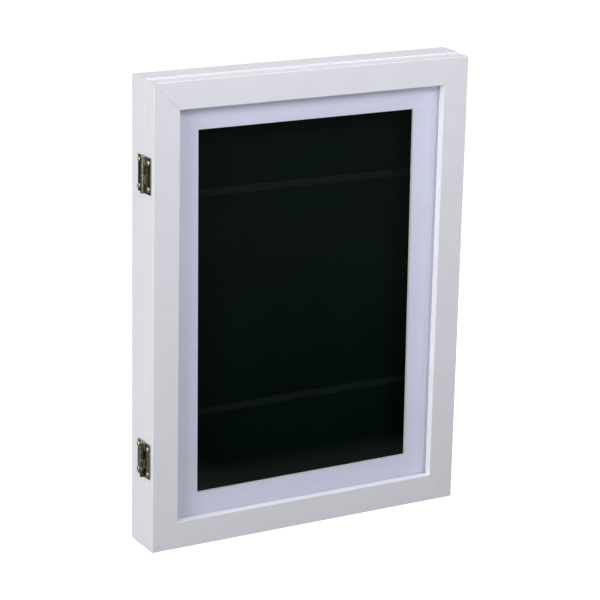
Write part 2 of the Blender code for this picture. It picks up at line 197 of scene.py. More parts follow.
def white_foil_material():
    material, tree, shader, place = new_material("white_foil_wrap", Coat_Weight=0.12,
                                                 Coat_Roughness=0.25)
    film = use_group(tree, skin, place, Pore_Scale=1300, Wave_Scale=45, Wave_Share=1.5)
    colour = blend(tree, "Color", film["Mottle"], foil_shade, foil_white)
    colour = dusted(tree, place, colour, foil_dust, 0.35, Scale=60, Size=0.03, Share=0.12)
    rough = spread(tree, noise(tree, place, scale=260), 0.3, 0.7, *foil_roughness)
    give_surface(tree, shader, colour, rough, film["Height"], relief=0.00004, strength=0.35)
    return material


white_foil = white_foil_material()

weld_distance = 1e-7
same_place = 1e-6
wide_face_ratio = 12
flat_bend = math.radians(2)


def verts_of(geometry):
    return [item for item in geometry if isinstance(item, bmesh.types.BMVert)]


def edges_of(geometry):
    return [item for item in geometry if isinstance(item, bmesh.types.BMEdge)]


def all_parts(work):
    return work.verts[:] + work.edges[:] + work.faces[:]


def ease(work, edges, radius, segments):
    """Rounds these edges."""
    bmesh.ops.bevel(work, geom=edges, offset=radius, segments=segments, profile=0.5,
                    affect="EDGES", material=-1, clamp_overlap=True)


def shade_edges(work, smooth_under):
    """Smooth only between like faces, so that a wide flat face isn't shaded by its edge."""
    for face in work.faces:
        face.smooth = True
    for edge in work.edges:
        bend = edge.calc_face_angle(0)
        areas = sorted(face.calc_area() for face in edge.link_faces)
        beside_wide = bend > flat_bend and areas[-1] > wide_face_ratio * areas[0]
        edge.smooth = bend < math.radians(smooth_under) and not beside_wide


def linked_object(name, work):
    """An object with the bmesh as its mesh, put into the scene. The bmesh is freed."""
    mesh = bpy.data.meshes.new(name)
    work.to_mesh(mesh)
    work.free()
    made = bpy.data.objects.new(name, mesh)
    bpy.context.scene.collection.objects.link(made)
    return made


body_of_node = {name: body for body, names in frame["record"]["behaviour"]["bodies"].items()
                for name in names}


def add_piece(name, work, material, replaced, smooth_under=35):
    """A finished piece from a bmesh: closed, outwards, smooth where it is round, and riding."""
    bmesh.ops.remove_doubles(work, verts=work.verts, dist=weld_distance)
    bmesh.ops.recalc_face_normals(work, faces=work.faces)
    shade_edges(work, smooth_under)
    piece = linked_object(name, work)
    piece.data.materials.append(material)
    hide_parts(replaced)
    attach(piece, body_of_node[replaced])


def with_modifiers(shown, *helpers):
    """The object's mesh as its modifiers leave it, as a bmesh. All the objects are removed."""
    graph = bpy.context.evaluated_depsgraph_get()
    result = bmesh.new()
    result.from_mesh(shown.evaluated_get(graph).to_mesh())
    for scratch in (shown, *helpers):
        mesh = scratch.data
        bpy.data.objects.remove(scratch)
        bpy.data.meshes.remove(mesh)
    return result


def cut_away(work, cutters):
    """The bmesh after an exact Boolean with another bmesh of closed cutters."""
    for source in (work, cutters):
        bmesh.ops.recalc_face_normals(source, faces=source.faces)
    blank = linked_object("blank", work)
    knives = linked_object("knives", cutters)
    modifier = blank.modifiers.new("cut", "BOOLEAN")
    modifier.operation = "DIFFERENCE"
    modifier.solver = "EXACT"
    modifier.object = knives
    return with_modifiers(blank, knives)


def add_block(work, low, high):
    made = bmesh.ops.create_cube(work, size=1)["verts"]
    bmesh.ops.scale(work, vec=high - low, verts=made)
    bmesh.ops.translate(work, vec=(low + high) / 2, verts=made)
    return made


def add_rod(work, radius, start, end, segments=24):
    """A closed rod between two points."""
    along = end - start
    made = bmesh.ops.create_cone(work, cap_ends=True, segments=segments, radius1=radius,
                                 radius2=radius, depth=along.length)["verts"]
    turn = along.to_track_quat("Z", "Y").to_matrix().to_4x4()
    bmesh.ops.transform(work, matrix=Matrix.Translation((start + end) / 2) @ turn, verts=made)


let_in_play = 0.0003
screw_bore = 0.0011
nail_bore = 0.0009
disc_bore = 0.0043
disc_pocket_mouth = 0.002
staple_leg = 0.0005


def let_in(cutters, name, low, high):
    """Adds the room that this CAD piece needs in the rail that holds it."""
    middle = (low + high) / 2
    play = Vector((let_in_play,) * 3)
    if "screw" in name:
        add_rod(cutters, screw_bore, Vector((low.x, middle.y, middle.z)),
                Vector((high.x + let_in_play, middle.y, middle.z)))
    elif "nail" in name:
        add_rod(cutters, nail_bore, Vector((middle.x, low.y - let_in_play, middle.z)),
                Vector((middle.x, high.y, middle.z)))
    elif "magnet" in name or "strike" in name:
        opens, mouth, floor = (-1, low.y, high.y) if "magnet" in name else (1, high.y, low.y)
        add_rod(cutters, disc_bore,
                Vector((middle.x, mouth + opens * disc_pocket_mouth, middle.z)),
                Vector((middle.x, floor - opens * let_in_play, middle.z)), segments=48)
    elif "point" in name:
        add_block(cutters, low - play, high + play)
    elif "staple" in name:
        for end in (low.z, high.z - staple_leg):
            add_block(cutters, Vector((low.x, low.y, end)) - play,
                      Vector((high.x, high.y, end + staple_leg)) + play)


def overlaps(first, second):
    return all(first[0][axis] < second[1][axis] and second[0][axis] < first[1][axis]
               for axis in range(3))


half_width = -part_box("box_rail_left")[0].x
ring_height = {kind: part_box(kind + "_rail_top")[1].z for kind in ("door", "box")}
cad_nodes = frame["nodes"]


def side_frames(height):
    """Each side of a ring this high: x inwards from its outer edge, y backwards, z along it."""
    return {
        "left": Matrix.Translation((-half_width, 0, height / 2)),
        "right": Matrix.Translation((half_width, 0, height / 2))
                 @ Matrix.Rotation(math.pi, 4, "Y"),
        "bottom": Matrix.Rotation(-math.pi / 2, 4, "Y"),
        "top": Matrix.Translation((0, 0, height)) @ Matrix.Rotation(math.pi / 2, 4, "Y"),
    }


def rail_section(kind):
    """The corners of a rail's section, x inwards and y backwards, each with its radius."""
    low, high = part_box(kind + "_rail_left")
    front, back, face = low.y, high.y, high.x - low.x
    wall = face - rail_rebate[kind]
    if kind == "door":
        step = front + door_lip_depth
        front_radius, back_radius = outer_radius, seam_radius
    else:
        step = back - box_rebate_depth
        front -= seam_closing
        front_radius, back_radius = seam_radius, outer_radius
    return [(0, front, front_radius), (face, front, lip_radius), (face, step, 0),
            (wall, step, 0), (wall, back, 0), (0, back, back_radius)]


def add_rail(kind, side, frame_of_side):
    name = f"{kind}_rail_{side}"
    length = ring_height[kind] if side in ("left", "right") else 2 * half_width
    work = bmesh.new()
    section = rail_section(kind)
    ring = [work.verts.new((x, y, -length / 2)) for x, y, radius in section]
    swept = bmesh.ops.extrude_face_region(work, geom=[work.faces.new(ring)])["geom"]
    bmesh.ops.translate(work, vec=(0, 0, length), verts=verts_of(swept))
    for x, y, radius in section:
        if radius:
            corner = [edge for edge in work.edges
                      if all(abs(vertex.co.x - x) + abs(vertex.co.y - y) < same_place
                             for vertex in edge.verts)]
            ease(work, corner, radius, segments=6)
    for end in (-1, 1):
        place = (0, 0, end * (length / 2 - mitre_joint / math.sqrt(2)))
        cut = bmesh.ops.bisect_plane(work, geom=all_parts(work), dist=weld_distance,
                                     plane_co=place, plane_no=(1, 0, end), clear_outer=True)
        bmesh.ops.edgeloop_fill(work, edges=edges_of(cut["geom_cut"]))
    bmesh.ops.transform(work, matrix=frame_of_side, verts=work.verts)
    cutters = bmesh.new()
    for other in cad_nodes:
        if body_of_node[other] == body_of_node[name] and overlaps(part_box(other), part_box(name)):
            let_in(cutters, other, *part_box(other))
    if len(cutters.verts):
        work = cut_away(work, cutters)
    else:
        cutters.free()
    add_piece(name + "_foil", work, white_foil, name, smooth_under=28)


for kind, height in ring_height.items():
    for side, frame_of_side in side_frames(height).items():
        add_rail(kind, side, frame_of_side)


# Door glazing
# A 2 mm pane of clear glass, laid into the door's rebate behind the lip and held there by the
# points behind the mat. It shows itself only by what it mirrors, most of all near the lip at
# the right and below.
pane_edge = 0.00025
glass_mirror_face_on = 0.14
glass_tint = (0.995, 0.998, 0.998)
glass_roughness = (0.02, 0.07)


def sharp_edges(work, bend):
    """The edges between two faces that turn by more than this many degrees."""
    return [edge for edge in work.edges
            if len(edge.link_faces) == 2 and edge.calc_face_angle() > math.radians(bend)]


def softened_copy(name, radius, segments=2):
    """A welded copy of a CAD node's mesh, its flat faces whole and its edges eased."""
    work = bmesh.new()
    work.from_mesh(cad_nodes[name].data)
    bmesh.ops.remove_doubles(work, verts=work.verts, dist=same_place)
    bmesh.ops.dissolve_limit(work, angle_limit=math.radians(1), verts=work.verts,
                             edges=work.edges)
    ease(work, sharp_edges(work, bend=40), radius, segments)
    return work


def show_shaders(tree, factor, first, second):
    """Gives the surface the first shader where the factor is 0, the second where it is 1."""
    both = add_node(tree, "MixShader", Fac=factor)
    tree.links.new(first.outputs[0], both.inputs[1])
    tree.links.new(second.outputs[0], both.inputs[2])
    tree.links.new(both.outputs[0], tree.nodes["Material Output"].inputs["Surface"])


def clear_glass_material():
    """A clear shader and a mirror, stronger aslant, at the face that a ray meets first."""
    material, tree, shader, place = new_material("clear_pane", Metallic=1.0,
                                                 Base_Color=(1, 1, 1))
    smears = noise(tree, stretched(tree, place, (1, 1, 0.4)), scale=26, detail=4)
    tree.links.new(spread(tree, smears, 0.4, 0.75, *glass_roughness), shader.inputs["Roughness"])
    facing = add_node(tree, "LayerWeight", Blend=0.5).outputs["Facing"]
    mirror = maths(tree, "ADD", maths(tree, "POWER", facing, 5), glass_mirror_face_on)
    leaving = add_node(tree, "NewGeometry").outputs["Backfacing"]
    mirror = maths(tree, "MULTIPLY", mirror, maths(tree, "SUBTRACT", 1, leaving))
    clear = add_node(tree, "BsdfTransparent", Color=glass_tint)
    show_shaders(tree, mirror, clear, shader)
    return material


add_piece("glazing_pane", softened_copy("glazing", pane_edge), clear_glass_material(), "glazing")


# Mat
# A card ring with a white face paper and a cream core, behind the glazing. The paper's cool blue
# tint is painted in, a painted reflection and shade of the glass over it. Its window is cut on a
# steep slant, so that a thin line of core shows all round, a little out of square.
mat_edge = 0.00004
mat_face_painted_cool_tint = (0.84, 0.857, 1.0)
mat_mottle = 0.975
mat_core = (0.84, 0.82, 0.79)
mat_roughness = (0.82, 0.95)
core_slant = 0.85
bevel_narrowing = 0.001
window_reach = Vector((0.095, 0, 0.14))
# How far each corner of the window, by its side and height, is out of square.
window_skew = {(-1, 1): (-0.0005, -0.00015), (1, 1): (-0.0010, -0.0005),
               (-1, -1): (0.00103, -0.0005), (1, -1): (0.00154, 0)}


def mat_material():
    """Face paper, and core wherever the card is cut, which its normal tells."""
    material, tree, shader, place = new_material("mat_card_and_core", Specular_IOR_Level=0.25)
    card = use_group(tree, skin, place, Pore_Scale=2600, Wave_Scale=22, Wave_Share=0.3)
    normal = add_node(tree, "NewGeometry").outputs["True Normal"]
    across = maths(tree, "ABSOLUTE", add_node(tree, "SeparateXYZ", Vector=normal).outputs["Y"])
    is_core = maths(tree, "LESS_THAN", across, core_slant)
    mottled = [share * mat_mottle for share in mat_face_painted_cool_tint]
    paper = blend(tree, "Color", card["Mottle"], mottled, mat_face_painted_cool_tint)
    colour = blend(tree, "Color", is_core, paper, mat_core)
    rough = spread(tree, card["Height"], 0.3, 0.9, *mat_roughness)
    give_surface(tree, shader, colour, rough, card["Height"], relief=0.00005, strength=0.3)
    return material


def mat_work():
    """The mat, its cut steepened and each corner of its window moved to where the knife went."""
    work = softened_copy("mat_board", mat_edge, segments=1)
    low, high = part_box("mat_board")
    middle = (low + high) / 2
    for vertex in work.verts:
        out = vertex.co - middle
        if abs(out.x) < window_reach.x and abs(out.z) < window_reach.z:
            sides = (1 if out.x > 0 else -1, 1 if out.z > 0 else -1)
            across, up = window_skew[sides]
            vertex.co += Vector((across, 0, up))
            if out.y < 0:
                vertex.co -= bevel_narrowing * Vector((sides[0], 0, sides[1]))
    return work


add_piece("mat_board_card", mat_work(), mat_material(), "mat_board")


# Backing board and back panel
# A black card board closes the box inside, and a brown hardboard panel behind it, in the
# rebate of the box rails, closes the back. Both are cut sheets with eased edges.
board_edge = 0.0002
board_black = (0.0012, 0.0062, 0.0040)
board_bloom = (0.0020, 0.0080, 0.0056)
board_dust = (0.3, 0.32, 0.3)
board_roughness = (0.75, 0.95)
panel_edge = 0.0003
panel_brown = (0.36, 0.235, 0.135)
panel_dark = (0.24, 0.145, 0.075)
panel_roughness = (0.7, 0.92)


def black_card_material():
    material, tree, shader, place = new_material("black_board_card", Specular_IOR_Level=0.02)
    card = use_group(tree, skin, place, Pore_Scale=1900, Wave_Scale=14, Wave_Share=0.8)
    colour = blend(tree, "Color", card["Mottle"], board_black, board_bloom)
    colour = dusted(tree, place, colour, board_dust, 0.3, Scale=75, Size=0.03, Share=0.35)
    rough = spread(tree, card["Height"], 0.4, 1.2, *board_roughness)
    give_surface(tree, shader, colour, rough, card["Height"], relief=0.00006, strength=0.4)
    return material


def hardboard_material():
    material, tree, shader, place = new_material("brown_hardboard", Specular_IOR_Level=0.3)
    long_fibres = noise(tree, stretched(tree, place, (1, 1, 0.25)), scale=1400, detail=4)
    cross_fibres = noise(tree, stretched(tree, place, (0.25, 1, 1)), scale=1100, detail=4)
    clouds = noise(tree, place, scale=35)
    fibres = maths(tree, "MULTIPLY", maths(tree, "ADD", long_fibres, cross_fibres), 0.5)
    shade = maths(tree, "ADD", maths(tree, "MULTIPLY", fibres, 0.7),
                  maths(tree, "MULTIPLY", clouds, 0.3))
    colour = blend(tree, "Color", spread(tree, shade, 0.38, 0.62), panel_dark, panel_brown)
    rough = spread(tree, fibres, 0.3, 0.7, *panel_roughness)
    give_surface(tree, shader, colour, rough, fibres, relief=0.00012, strength=0.6)
    return material


add_piece("backing_board_card", softened_copy("backing_board", board_edge),
          black_card_material(), "backing_board")
add_piece("back_panel_hardboard", softened_copy("back_panel", panel_edge),
          hardboard_material(), "back_panel")


# Elastic straps
# Two woven bands of black elastic with four rubber cords each, stretched across the board.
# Both ends turn forwards along the side rails and are stapled there.
strap_tilt = {"strap_upper": -0.0079, "strap_lower": 0.0040}
strap_tilt_fade = 0.014
strap_steps = 24
strap_thickness = 0.0008
strap_outer_bend = 0.0012
strap_bend_steps = 8
strap_cords = 4
cord_groove = 0.00018
groove_steps = 8
thread_wrap = 0.0006
elastic_black = (0.0012, 0.0044, 0.0022)
# The lighter colour on the cords' crests is a painted highlight.
elastic_painted_rib_light = (0.0100, 0.0168, 0.0098)
elastic_roughness = (0.7, 0.9)


def elastic_material():
    """Ribs over the cords and thread wound across them, on the band's own UV map."""
    material, tree, shader, place = new_material("ribbed_elastic", Specular_IOR_Level=0.05)
    surface = add_node(tree, "UVMap").outputs["UV"]
    along, across = add_node(tree, "SeparateXYZ", Vector=surface).outputs[:2]
    wraps = maths(tree, "SINE", maths(tree, "MULTIPLY", along, 2 * math.pi / thread_wrap))
    cords = maths(tree, "SINE", maths(tree, "MULTIPLY", across, math.pi * strap_cords))
    cords = maths(tree, "ABSOLUTE", cords)
    threads = noise(tree, place, scale=2400, detail=4)
    # Painted highlight and shade: lighter over each cord's crest and darker in the grooves
    # between, with random thread tone mixed in.
    lit = maths(tree, "ADD", maths(tree, "MULTIPLY", cords, 0.8),
                maths(tree, "MULTIPLY", threads, 0.2))
    colour = blend(tree, "Color", spread(tree, lit, 0.25, 0.8), elastic_black, elastic_painted_rib_light)
    height = maths(tree, "ADD", maths(tree, "MULTIPLY", wraps, 0.25), threads)
    rough = spread(tree, threads, 0.3, 0.7, *elastic_roughness)
    give_surface(tree, shader, colour, rough, height, relief=0.00008, strength=0.7)
    return material


elastic = elastic_material()


def add_strap(name):
    """A ribbed section pushed backwards, bent, drawn across the box and bent forwards again."""
    low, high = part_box(name)
    middle = (low.z + high.z) / 2
    steps = strap_cords * groove_steps
    work = bmesh.new()
    ring = []
    for face in (1, -1):
        for step in range(steps):
            share = step / steps
            rib = abs(math.sin(math.pi * strap_cords * share))
            out = strap_thickness / 2 - cord_groove * (1 - rib) / 2
            across = (share - 1 / 2) * face * (high.z - low.z)
            ring.append(work.verts.new((low.x + strap_thickness / 2 - out * face, low.y,
                                        middle + across)))
    first_ring = [work.edges.new(pair) for pair in zip(ring, ring[1:] + ring[:1])]

    def push(edges, way):
        """The ring of edges that is extruded from these and moved this way."""
        made = bmesh.ops.extrude_edge_only(work, edges=edges)["geom"]
        bmesh.ops.translate(work, vec=way, verts=verts_of(made))
        return [edge for edge in edges_of(made)
                if all(len(vertex.link_edges) == 3 for vertex in edge.verts)]

    def bend(edges, centre):
        turned = bmesh.ops.spin(work, geom=edges, cent=centre, axis=(0, 0, -1),
                                angle=math.pi / 2, steps=strap_bend_steps)
        return edges_of(turned["geom_last"])

    tab = high.y - strap_outer_bend - low.y
    run = high.x - low.x - 2 * strap_outer_bend
    edges = push(first_ring, (0, tab, 0))
    edges = bend(edges, (low.x + strap_outer_bend, high.y - strap_outer_bend, middle))
    for step in range(strap_steps):
        edges = push(edges, (run / strap_steps, 0, 0))
    edges = bend(edges, (high.x - strap_outer_bend, high.y - strap_outer_bend, middle))
    edges = push(edges, (0, -tab, 0))
    bmesh.ops.edgeloop_fill(work, edges=first_ring)
    bmesh.ops.edgeloop_fill(work, edges=edges)
    layer = work.loops.layers.uv.new("UVMap")
    for face in work.faces:
        for corner in face.loops:
            x, y, z = corner.vert.co
            corner[layer].uv = (x + math.copysign(high.y - y, x), (z - low.z) / (high.z - low.z))
    for vertex in work.verts:
        free = (high.x - 2 * strap_outer_bend - abs(vertex.co.x)) / strap_tilt_fade
        vertex.co.z += strap_tilt[name] * vertex.co.x * max(0, min(1, free))
    add_piece(name + "_elastic", work, elastic, name, smooth_under=60)


for name in strap_tilt:
    add_strap(name)


# Staples, points and hangers
# Plated steel stampings: staples across the straps' ends, flat points driven into the
# rebates behind mat and panel, and a sawtooth hanger for each way up. Their edges are eased.
stamping_edge = 0.00008
zinc_light = (0.62, 0.63, 0.64)
zinc_dark = (0.40, 0.41, 0.43)
zinc_roughness = (0.24, 0.42)


def zinc_material():
    material, tree, shader, place = new_material("zinc_plate", Metallic=1.0)
    brushing = noise(tree, stretched(tree, place, (1, 1, 0.12)), scale=900, detail=4)
    spangle = noise(tree, place, scale=420, detail=2)
    colour = blend(tree, "Color", spread(tree, spangle, 0.35, 0.65), zinc_dark, zinc_light)
    rough = spread(tree, brushing, 0.3, 0.7, *zinc_roughness)
    give_surface(tree, shader, colour, rough, brushing, relief=0.00003, strength=0.4)
    return material


zinc = zinc_material()
for name in cad_nodes:
    if ("staple" in name or "point" in name or "hanger" in name) and "nail" not in name:
        add_piece(name + "_zinc", softened_copy(name, stamping_edge), zinc, name)


# Nails, magnets and strikes
# The hangers' zinc-plated nails, the two nickelled magnets in the right box rail and the steel
# strikes that they hold in the right door rail, all turned round their own axis.
nail_shank_radius = 0.0006
nail_tip = 0.0014
# Radius and depth, from the top of the head to the shank.
nail_head = ((0, 0), (0.0010, 0.00006), (0.0014, 0.00020), (0.0016, 0.00036),
             (0.0016, 0.00052), (0.0015, 0.0006), (0.0006, 0.00062))
disc_radius = 0.004
# Distance in from the rim, and depth, over the rounded edge.
disc_edge = ((0.0003, 0), (0.0001, 0.00008), (0, 0.0003))
nickel_light = (0.70, 0.69, 0.67)
nickel_dark = (0.52, 0.51, 0.50)
nickel_roughness = (0.12, 0.3)


def nickel_material():
    material, tree, shader, place = new_material("nickel_plate", Metallic=1.0)
    scuffs = noise(tree, stretched(tree, place, (1, 1, 3)), scale=500, detail=5)
    colour = blend(tree, "Color", spread(tree, scuffs, 0.4, 0.65), nickel_dark, nickel_light)
    rough = spread(tree, scuffs, 0.35, 0.7, *nickel_roughness)
    give_surface(tree, shader, colour, rough, scuffs, relief=0.00002, strength=0.4)
    return material


nickel = nickel_material()


def turned_work(profile, steps=40):
    """A closed body turned round Z from a chain of (radius, height), its ends on the axis."""
    work = bmesh.new()
    chain = [work.verts.new((radius, 0, height)) for radius, height in profile]
    edges = [work.edges.new(pair) for pair in zip(chain, chain[1:])]
    bmesh.ops.spin(work, geom=chain + edges, axis=(0, 0, 1), angle=2 * math.pi, steps=steps,
                   use_merge=True)
    bmesh.ops.remove_doubles(work, verts=work.verts, dist=weld_distance)
    return work


def stand(work, spot, way):
    """Puts a turned body's origin at this spot, with its head's side this way."""
    turn = Vector(way).to_track_quat("Z", "Y").to_matrix().to_4x4()
    bmesh.ops.transform(work, matrix=Matrix.Translation(spot) @ turn, verts=work.verts)
    return work


for name in cad_nodes:
    low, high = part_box(name)
    middle = (low + high) / 2
    length = high.y - low.y
    if "nail" in name:
        profile = [(radius, -depth) for radius, depth in nail_head]
        profile += [(nail_shank_radius, nail_tip - length), (0, -length)]
        work = stand(turned_work(profile), (middle.x, high.y, middle.z), (0, 1, 0))
        add_piece(name + "_zinc", work, zinc, name)
    elif "magnet" in name or "strike" in name:
        profile = [(disc_radius - inwards, -depth) for inwards, depth in disc_edge]
        profile = [(0, 0), *profile, (disc_radius, -length), (0, -length)]
        faces_front = "magnet" in name
        face = (middle.x, low.y if faces_front else high.y, middle.z)
        work = stand(turned_work(profile, steps=56), face, (0, -1 if faces_front else 1, 0))
        add_piece(name + "_nickel", work, nickel, name)


# Butt hinges
# Two leaves stamped from bronze-plated sheet, each rolled round the pin in two knuckles that
# sit between the other's, and a pin with rounded ends. Plating is rubbed bright in places.
leaf_thickness = 0.0008
leaf_corner = 0.0004
leaf_edge = 0.00012
leaf_hole_reach = (0.0002, 0.003)
knuckle_bore = 0.0009
knuckle_gap = 0.0003
knuckle_count = 4
knuckle_wrap = math.radians(285)
notch_reach = 0.0026
# Radius and depth over a rounded end.
pin_end = ((0, 0), (0.0004, 0.00006), (0.00065, 0.00014), (0.0008, 0.00025))
# Painted light: the box leaf and the pin get lighter tones and the door leaf darker ones, a
# painted highlight and painted shade on one and the same plating. Within each pair the spread is
# random rubbing.
bronze_tones_box_painted_lighter = {"box": ((0.34, 0.33, 0.26), (0.54, 0.52, 0.46)),
                "door": ((0.30, 0.28, 0.20), (0.42, 0.39, 0.29))}
bronze_roughness = {"box": (0.15, 0.1), "door": (0.19, 0.14)}


def bronze_material(kind):
    dark, rubbed_and_painted_light = bronze_tones_box_painted_lighter[kind]
    material, tree, shader, place = new_material("bronze_plate_" + kind, Metallic=1.0)
    clouds = noise(tree, place, scale=300, detail=4)
    streaks = noise(tree, stretched(tree, place, (1, 1, 0.15)), scale=1500, detail=4)
    rubbed = maths(tree, "ADD", clouds, maths(tree, "MULTIPLY", streaks, 0.4))
    colour = blend(tree, "Color", spread(tree, rubbed, 0.6, 0.95), dark, rubbed_and_painted_light)
    rough = spread(tree, clouds, 0.35, 0.7, *bronze_roughness[kind])
    give_surface(tree, shader, colour, rough, streaks, relief=0.00004, strength=0.5)
    return material


bronze = {kind: bronze_material(kind) for kind in bronze_tones_box_painted_lighter}


def thickened(work, thickness):
    """The sheet given its thickness on the side that its normals point to."""
    sheet = linked_object("sheet", work)
    modifier = sheet.modifiers.new("thickness", "SOLIDIFY")
    modifier.thickness = thickness
    modifier.offset = 1
    return with_modifiers(sheet)


def leaf_sheet(width, height, backwards, own_knuckles):
    """A leaf's flat sheet beside the axis, notched where the other leaf's knuckles sit."""
    pitch = height / knuckle_count
    work = bmesh.new()
    bmesh.ops.create_grid(work, x_segments=1, y_segments=1, size=1 / 2)
    bmesh.ops.rotate(work, cent=(0, 0, 0), matrix=Matrix.Rotation(math.pi / 2, 3, "Y"),
                     verts=work.verts)
    bmesh.ops.scale(work, vec=(1, width, height), verts=work.verts)
    bmesh.ops.translate(work, vec=(knuckle_bore, backwards * width / 2, 0), verts=work.verts)
    cuts = [((0, backwards * notch_reach, 0), (0, 1, 0))]
    for knuckle in range(1, knuckle_count):
        for side in (-1, 1):
            z = height / 2 - knuckle * pitch + side * knuckle_gap / 2
            cuts.append(((0, 0, z), (0, 0, 1)))
    for place, normal in cuts:
        bmesh.ops.bisect_plane(work, geom=all_parts(work), dist=weld_distance,
                               plane_co=place, plane_no=normal)

    def in_own_knuckle(z):
        return any(abs(height / 2 - (knuckle + 1 / 2) * pitch - z) < pitch / 2 - knuckle_gap / 4
                   for knuckle in own_knuckles)

    middles = {face: face.calc_center_median() for face in work.faces}
    notched = [face for face, middle in middles.items()
               if abs(middle.y) < notch_reach and not in_own_knuckle(middle.z)]
    bmesh.ops.delete(work, geom=notched, context="FACES")
    return work


def add_leaf(kind, hinge):
    """The leaf lies backwards from the axis on the box, forwards on the door."""
    name = f"{kind}_leaf_{hinge}"
    low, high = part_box(name)
    pin_low, pin_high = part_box("hinge_pin_" + hinge)
    axis = (pin_low + pin_high) / 2
    height = pin_high.z - pin_low.z
    if kind == "box":
        backwards, width, own_knuckles = 1, high.y - axis.y, range(0, knuckle_count, 2)
    else:
        backwards, width, own_knuckles = -1, axis.y - low.y, range(1, knuckle_count, 2)
    work = leaf_sheet(width, height, backwards, own_knuckles)
    on_axis = [vertex for vertex in work.verts if abs(vertex.co.y) < weld_distance]
    rolled = [edge for edge in work.edges if all(vertex in on_axis for vertex in edge.verts)]
    bmesh.ops.spin(work, geom=on_axis + rolled, axis=(0, 0, -backwards), angle=knuckle_wrap,
                   steps=30)
    bmesh.ops.remove_doubles(work, verts=work.verts, dist=weld_distance)
    corners = [vertex for vertex in work.verts
               if abs(abs(vertex.co.y) - width) < same_place
               and abs(abs(vertex.co.z) - height / 2) < same_place]
    bmesh.ops.bevel(work, geom=corners, offset=leaf_corner, segments=4, profile=0.5,
                    affect="VERTICES", material=-1)
    bmesh.ops.recalc_face_normals(work, faces=work.faces)
    plate = max(work.faces, key=lambda face: abs(face.calc_center_median().y))
    if plate.normal.x < 0:
        bmesh.ops.reverse_faces(work, faces=work.faces)
    work = thickened(work, leaf_thickness)
    ease(work, sharp_edges(work, bend=50), leaf_edge, segments=2)
    bmesh.ops.translate(work, vec=axis, verts=work.verts)
    holes = bmesh.new()
    for number in (1, 2):
        low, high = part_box(f"{name}_screw_{number}")
        middle = (low + high) / 2
        start, end = (Vector((axis.x + reach, middle.y, middle.z)) for reach in leaf_hole_reach)
        add_rod(holes, screw_bore, start, end)
    add_piece(name + "_bronze", cut_away(work, holes), bronze[kind], name, smooth_under=25)


for hinge in ("upper", "lower"):
    for kind in bronze:
        add_leaf(kind, hinge)
    low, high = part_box("hinge_pin_" + hinge)
    middle = (low + high) / 2
    profile = [(radius, -depth) for radius, depth in pin_end]
    profile += [(radius, depth - (high.z - low.z)) for radius, depth in reversed(pin_end)]
    work = stand(turned_work(profile, steps=24), (middle.x, middle.y, high.z), (0, 0, 1))
    add_piece(f"hinge_pin_{hinge}_bronze", work, bronze["box"], "hinge_pin_" + hinge)


# Hinge screws
# Small round-headed screws of yellow brass plate with a cross recess, two through each leaf
# into the rail. Their threads start below a plain neck and end at a pointed tip.
screw_head_radius = 0.0018
screw_head_height = 0.0010
screw_dome_height = 0.00075
screw_dome_fullness = 0.8
screw_rim_height = 0.00012
screw_rim_edge = 0.0001
screw_core_radius = 0.00062
screw_thread_radius = 0.0008
screw_neck = 0.0012
screw_tip = 0.0018
thread_pitch = 0.0007
recess_width = 0.0006
recess_length = 0.0022
recess_depth = 0.0006
recess_lead = 0.0005
recess_foot = 0.55
# How far a leaf's first and second screw are turned, in radians.
screw_turn = {"1": 0.4, "2": 1.1}
brass_light = (0.80, 0.66, 0.44)
brass_dark = (0.52, 0.40, 0.22)
brass_roughness = (0.22, 0.34)


def brass_material():
    material, tree, shader, place = new_material("yellow_brass_plate", Metallic=1.0)
    clouds = noise(tree, place, scale=700)
    colour = blend(tree, "Color", spread(tree, clouds, 0.35, 0.6), brass_dark, brass_light)
    rough = spread(tree, clouds, 0.3, 0.7, *brass_roughness)
    give_surface(tree, shader, colour, rough, clouds, relief=0.00003, strength=0.3)
    return material


brass = brass_material()


def screw_profile(length):
    """The chain of radius and height over the head's dome and rim and down the thread."""
    rise = screw_dome_height - screw_rim_height
    profile = []
    for degrees in range(0, 90, 6):
        angle = math.radians(degrees)
        profile.append((math.sin(angle) ** screw_dome_fullness * screw_head_radius,
                        math.cos(angle) ** screw_dome_fullness * rise + screw_rim_height))
    profile += [(screw_head_radius, screw_rim_height), (screw_head_radius - screw_rim_edge, 0),
                (screw_core_radius, 0)]
    depth = screw_neck
    while depth < length - screw_tip:
        profile += [(screw_core_radius, -depth), (screw_thread_radius, -depth - thread_pitch / 2)]
        depth += thread_pitch
    return [*profile, (screw_core_radius, -depth), (0, -length)]


def add_screw(name):
    low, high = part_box(name)
    middle = (low + high) / 2
    work = turned_work(screw_profile(high.x - low.x - screw_head_height), steps=32)
    for across, up in ((recess_length, recess_width), (recess_width, recess_length)):
        arm = bmesh.new()
        bar = add_block(arm, Vector((-across / 2, -up / 2, screw_dome_height - recess_depth)),
                        Vector((across / 2, up / 2, screw_dome_height + recess_lead)))
        foot = [vertex for vertex in bar if vertex.co.z < screw_dome_height]
        bmesh.ops.scale(arm, vec=(recess_foot, recess_foot, 1), verts=foot)
        work = cut_away(work, arm)
    turn = Matrix.Rotation(screw_turn[name[-1]], 3, "Z")
    bmesh.ops.rotate(work, cent=(0, 0, 0), matrix=turn, verts=work.verts)
    stand(work, (low.x + screw_head_height, middle.y, middle.z), (-1, 0, 0))
    add_piece(name + "_brass", work, brass, name, smooth_under=40)


for name in cad_nodes:
    if "screw" in name:
        add_screw(name)


